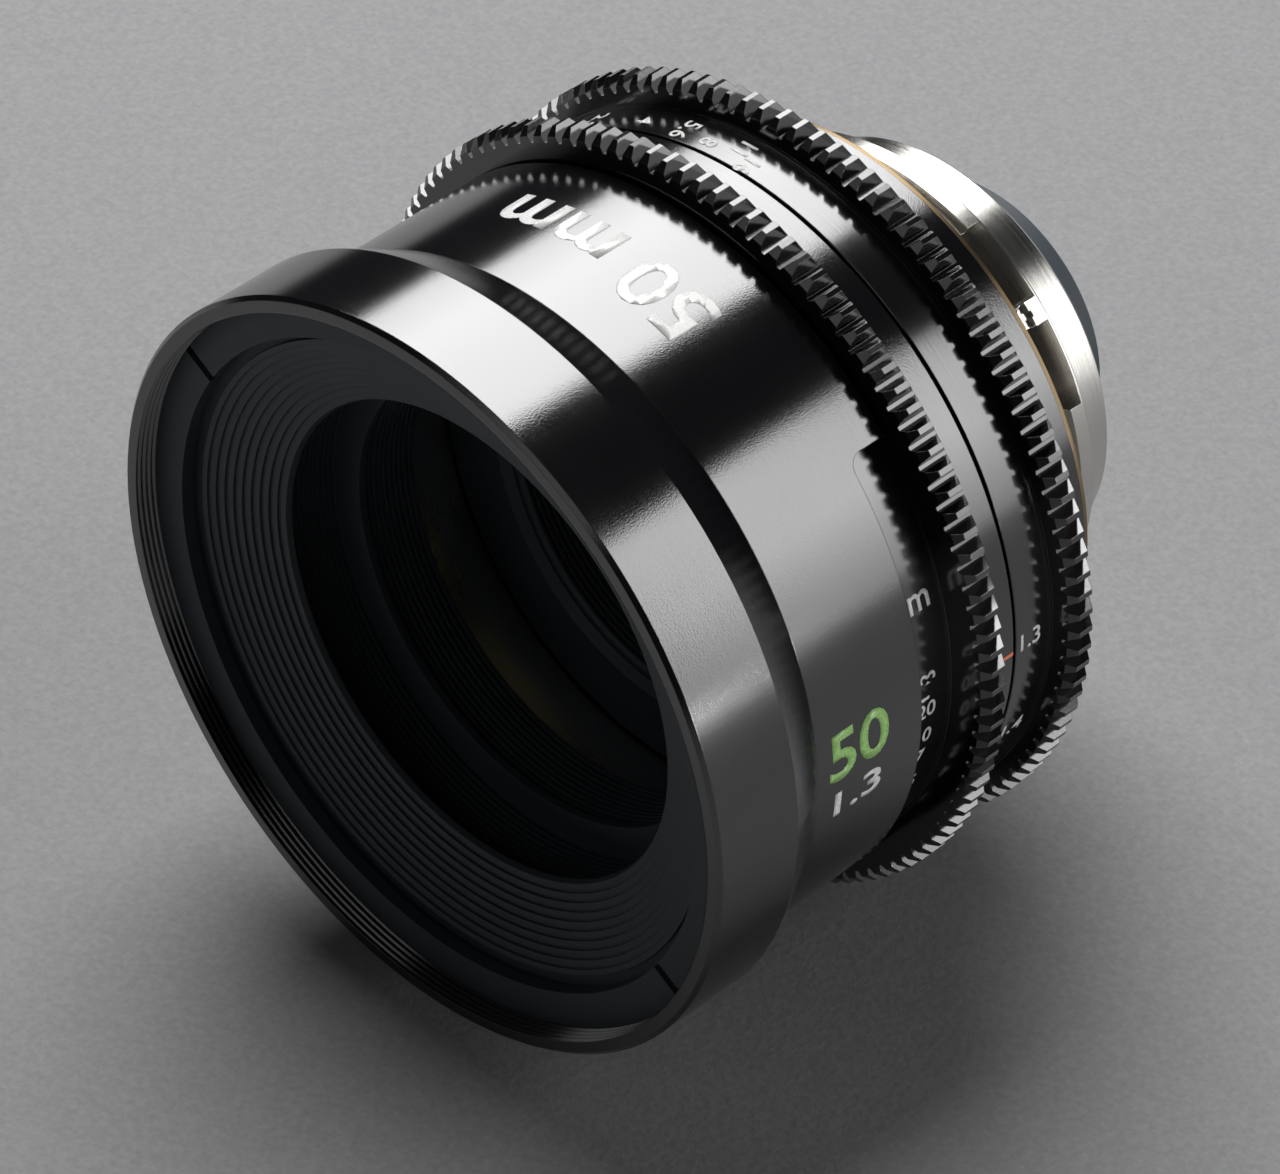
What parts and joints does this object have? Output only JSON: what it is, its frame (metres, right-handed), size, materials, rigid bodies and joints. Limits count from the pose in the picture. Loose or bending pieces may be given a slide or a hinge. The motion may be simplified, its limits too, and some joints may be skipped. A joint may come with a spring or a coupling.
{
  "type": "cinema prime lens",
  "caption": "Fixed focal length film camera lens with toothed focus and aperture rings, a ribbed front hood, a locking steel mount and a working iris.",
  "frame": {"origin": "centre of the mount's rear flange face, on the optical axis", "axes": "+Y along the optical axis from the front glass to the camera mount, +Z to the top of the lens, +X to the lens's left side"},
  "size_m": [0.0968, 0.0938, 0.0968],
  "materials": {
    "black_anodised": "satin black anodised",
    "inner_black": "matt black anodised",
    "bare_aluminium": "fine turned",
    "polished_steel": "fine turned, bright",
    "brass": "satin",
    "black_screw": "blackened",
    "steel_screw": "bright",
    "blade_black": "dry black film on spring steel",
    "coated_glass": "polished, with anti-reflection coating"
  },
  "bodies": {
    "housing": {"front_ring": "black_anodised", "front_ring_screws": "black_screw", "front_retaining_ring": "inner_black", "ribbed_baffle": "inner_black", "light_trap_tube": "inner_black", "name_sleeve": "black_anodised", "sleeve_screws": "black_screw", "main_barrel": "bare_aluminium", "index_band": "black_anodised", "index_screws": "black_screw", "focus_thrust_ring": "bare_aluminium", "focus_washer": "brass", "iris_washer": "brass", "rear_body": "black_anodised", "body_screws": "black_screw", "mount_shims": "brass", "mount_flange": "polished_steel", "mount_screws": "steel_screw", "rear_baffle": "inner_black"},
    "focus_control": {"focus_ring": "black_anodised", "focus_cam_ring": "brass", "cam_screws": "black_screw"},
    "iris_control": {"iris_ring": "black_anodised", "iris_drive_pin": "steel_screw"},
    "optical_block": {"block_carrier": "bare_aluminium", "carrier_screws": "black_screw", "focus_rollers": "steel_screw", "front_cell": "inner_black", "front_cell_retainer": "inner_black", "front_spacer": "inner_black", "middle_spacer": "inner_black", "iris_housing": "inner_black", "rear_cell": "black_anodised", "rear_spacer_1": "inner_black", "rear_spacer_2": "inner_black", "rear_retainer": "inner_black", "lens_element_1": "coated_glass", "lens_element_2": "coated_glass", "lens_element_3": "coated_glass", "lens_element_4": "coated_glass", "lens_element_5": "coated_glass", "lens_element_6": "coated_glass", "lens_element_7": "coated_glass"},
    "iris_cam": {"iris_cam_plate": "brass"},
    "blade_1": {"iris_blade_1": "blade_black"},
    "blade_2": {"iris_blade_2": "blade_black"},
    "blade_3": {"iris_blade_3": "blade_black"},
    "blade_4": {"iris_blade_4": "blade_black"},
    "blade_5": {"iris_blade_5": "blade_black"},
    "blade_6": {"iris_blade_6": "blade_black"},
    "blade_7": {"iris_blade_7": "blade_black"},
    "blade_8": {"iris_blade_8": "blade_black"}
  },
  "joints": [
    {"name": "focus_turn", "type": "hinge", "parent": "housing", "child": "focus_control", "pos_m": [0, -0.0352, 0], "axis": [0, 1, 0], "range_deg": [-174, 5]},
    {"name": "focus_slide", "type": "slide", "parent": "housing", "child": "optical_block", "axis": [0, 1, 0], "range_m": [-0.00613, 0.00018]},
    {"name": "iris_turn", "type": "hinge", "parent": "housing", "child": "iris_control", "pos_m": [0, -0.0225, 0], "axis": [0, 1, 0], "range_deg": [-91, 0]},
    {"name": "iris_cam_turn", "type": "hinge", "parent": "optical_block", "child": "iris_cam", "pos_m": [0, -0.0152, 0], "axis": [0, 1, 0], "range_deg": [-91.2, 0.2]},
    {"name": "blade_1_turn", "type": "hinge", "parent": "optical_block", "child": "blade_1", "pos_m": [0, -0.0135, 0.0232], "axis": [0, 1, 0], "range_deg": [-43.2, 0.2]},
    {"name": "blade_2_turn", "type": "hinge", "parent": "optical_block", "child": "blade_2", "pos_m": [0.0164, -0.0135, 0.0164], "axis": [0, 1, 0], "range_deg": [-43.2, 0.2]},
    {"name": "blade_3_turn", "type": "hinge", "parent": "optical_block", "child": "blade_3", "pos_m": [0.0232, -0.0135, 0], "axis": [0, 1, 0], "range_deg": [-43.2, 0.2]},
    {"name": "blade_4_turn", "type": "hinge", "parent": "optical_block", "child": "blade_4", "pos_m": [0.0164, -0.0135, -0.0164], "axis": [0, 1, 0], "range_deg": [-43.2, 0.2]},
    {"name": "blade_5_turn", "type": "hinge", "parent": "optical_block", "child": "blade_5", "pos_m": [0, -0.0135, -0.0232], "axis": [0, 1, 0], "range_deg": [-43.2, 0.2]},
    {"name": "blade_6_turn", "type": "hinge", "parent": "optical_block", "child": "blade_6", "pos_m": [-0.0164, -0.0135, -0.0164], "axis": [0, 1, 0], "range_deg": [-43.2, 0.2]},
    {"name": "blade_7_turn", "type": "hinge", "parent": "optical_block", "child": "blade_7", "pos_m": [-0.0232, -0.0135, 0], "axis": [0, 1, 0], "range_deg": [-43.2, 0.2]},
    {"name": "blade_8_turn", "type": "hinge", "parent": "optical_block", "child": "blade_8", "pos_m": [-0.0164, -0.0135, 0.0164], "axis": [0, 1, 0], "range_deg": [-43.2, 0.2]}
  ],
  "couplings": [
    {"joint": "focus_slide", "follows": "focus_turn", "m_per_rad": 0.0020152},
    {"joint": "iris_cam_turn", "follows": "iris_turn", "ratio": 1},
    {"joint": "blade_1_turn", "follows": "iris_turn", "ratio": 0.47253},
    {"joint": "blade_2_turn", "follows": "iris_turn", "ratio": 0.47253},
    {"joint": "blade_3_turn", "follows": "iris_turn", "ratio": 0.47253},
    {"joint": "blade_4_turn", "follows": "iris_turn", "ratio": 0.47253},
    {"joint": "blade_5_turn", "follows": "iris_turn", "ratio": 0.47253},
    {"joint": "blade_6_turn", "follows": "iris_turn", "ratio": 0.47253},
    {"joint": "blade_7_turn", "follows": "iris_turn", "ratio": 0.47253},
    {"joint": "blade_8_turn", "follows": "iris_turn", "ratio": 0.47253}
  ]
}
